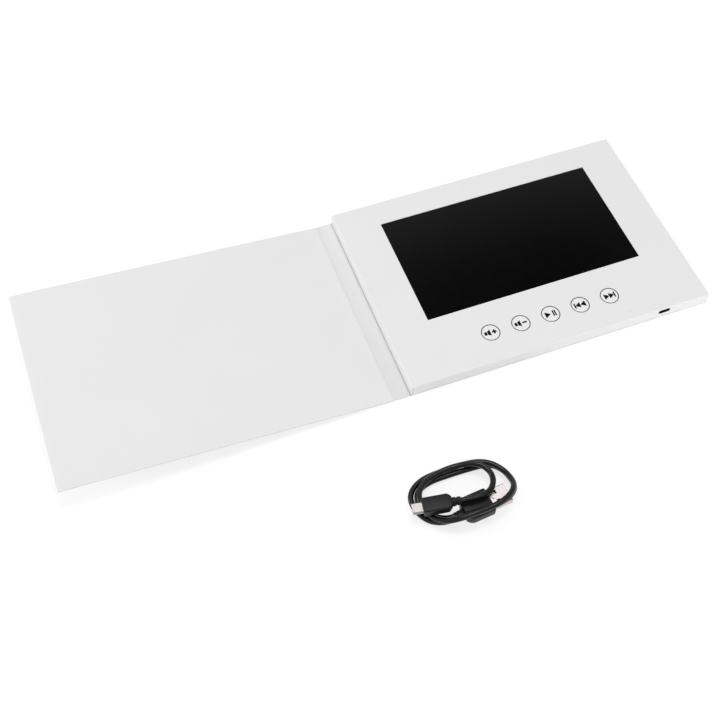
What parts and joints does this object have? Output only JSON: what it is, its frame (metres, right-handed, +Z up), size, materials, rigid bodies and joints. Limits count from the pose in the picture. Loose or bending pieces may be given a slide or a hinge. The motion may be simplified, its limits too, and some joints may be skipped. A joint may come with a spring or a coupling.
{
  "type": "video brochure",
  "caption": "Landscape card brochure with a built-in flat screen and round push buttons in a thin block, a soft folding card cover on a spine strip, and a loose USB charging lead.",
  "frame": {"origin": "middle of the open brochure's bounding box in plan, on the table it lies on, the charging lead left out", "axes": "+X from the cover to the screen block, along the brochure's long way; +Y from the front edge with the buttons to the back; +Z up, out of the screen"},
  "size_m": [0.4294, 0.2442, 0.0181],
  "materials": {
    "card": "satin white laminated card",
    "spine_card": "satin white laminated card",
    "cover_card": "satin white laminated card",
    "face_card": "satin white laminated card",
    "button_card": "satin white card, printed symbols",
    "greyboard": "raw greyboard",
    "screen_case": "pressed steel",
    "light_guide": "clear acrylic with films",
    "screen": "dark polished screen, switched off",
    "flex": "amber polyimide",
    "board": "green solder mask",
    "foam": "closed-cell foam",
    "chips": "black moulded",
    "socket_metal": "tinned steel",
    "black_plastic": "black moulded",
    "battery": "laminated pouch",
    "wires": "thin insulated wire",
    "magnet": "plated magnet",
    "speaker_metal": "black pressed steel",
    "speaker_paper": "pulp cone",
    "lead_rubber": "glossy black soft PVC",
    "plug_metal": "nickel plated",
    "contacts": "gold plated"
  },
  "bodies": {
    "block": {"back_panel": "card", "face_card": "face_card", "perimeter_spacer": "greyboard", "screen_spacer": "greyboard", "lcd_metal_case": "screen_case", "lcd_light_guide": "light_guide", "lcd_glass": "screen", "lcd_flex_cable": "flex", "main_board": "board", "board_pads": "foam", "board_chips": "chips", "usb_socket_shell": "socket_metal", "usb_socket_tongue": "black_plastic", "opening_sensor": "chips", "battery_cell": "battery", "battery_leads": "wires", "speaker_magnet": "magnet", "speaker_basket": "speaker_metal", "speaker_cone": "speaker_paper", "speaker_gasket": "foam", "speaker_leads": "wires", "button_board_pad": "foam", "button_board": "board", "button_ribbon": "flex", "switch_bodies": "black_plastic"},
    "spine": {"spine_strip": "spine_card"},
    "cover": {"cover_outer_ply": "cover_card", "cover_inner_ply": "cover_card", "cover_magnet": "magnet"},
    "button_volume_up": {"button_cap_volume_up": "button_card", "button_pad_volume_up": "foam", "switch_stem_volume_up": "black_plastic"},
    "button_volume_down": {"button_cap_volume_down": "button_card", "button_pad_volume_down": "foam", "switch_stem_volume_down": "black_plastic"},
    "button_play_pause": {"button_cap_play_pause": "button_card", "button_pad_play_pause": "foam", "switch_stem_play_pause": "black_plastic"},
    "button_previous": {"button_cap_previous": "button_card", "button_pad_previous": "foam", "switch_stem_previous": "black_plastic"},
    "button_next": {"button_cap_next": "button_card", "button_pad_next": "foam", "switch_stem_next": "black_plastic"},
    "charging_lead": {"lead_cable": "lead_rubber", "usb_a_plug_shell": "plug_metal", "usb_a_plug_tongue": "black_plastic", "usb_a_plug_contacts": "contacts", "usb_a_plug_overmould": "lead_rubber", "usb_a_strain_relief": "lead_rubber", "micro_plug_shell": "plug_metal", "micro_plug_insulator": "black_plastic", "micro_plug_contacts": "contacts", "micro_plug_overmould": "lead_rubber", "micro_strain_relief": "lead_rubber"}
  },
  "joints": [
    {"name": "spine_fold", "type": "hinge", "parent": "block", "child": "spine", "pos_m": [0.00407, 0, 0.0003], "axis": [0, 1, 0], "range_deg": [0, 90]},
    {"name": "cover_fold", "type": "hinge", "parent": "spine", "child": "cover", "pos_m": [-0.00613, 0, 0.0003], "axis": [0, 1, 0], "range_deg": [-4.8, 85.2]},
    {"name": "volume_up_press", "type": "slide", "parent": "block", "child": "button_volume_up", "axis": [0, 0, -1], "range_m": [0, 0.0003], "stiffness_N_per_m": 800, "springref_m": -0.0005},
    {"name": "volume_down_press", "type": "slide", "parent": "block", "child": "button_volume_down", "axis": [0, 0, -1], "range_m": [0, 0.0003], "stiffness_N_per_m": 800, "springref_m": -0.0005},
    {"name": "play_pause_press", "type": "slide", "parent": "block", "child": "button_play_pause", "axis": [0, 0, -1], "range_m": [0, 0.0003], "stiffness_N_per_m": 800, "springref_m": -0.0005},
    {"name": "previous_press", "type": "slide", "parent": "block", "child": "button_previous", "axis": [0, 0, -1], "range_m": [0, 0.0003], "stiffness_N_per_m": 800, "springref_m": -0.0005},
    {"name": "next_press", "type": "slide", "parent": "block", "child": "button_next", "axis": [0, 0, -1], "range_m": [0, 0.0003], "stiffness_N_per_m": 800, "springref_m": -0.0005},
    {"name": "lead_lift", "type": "slide", "parent": "block", "child": "charging_lead", "axis": [0, 0, 1], "range_m": [0, 0.06]}
  ]
}
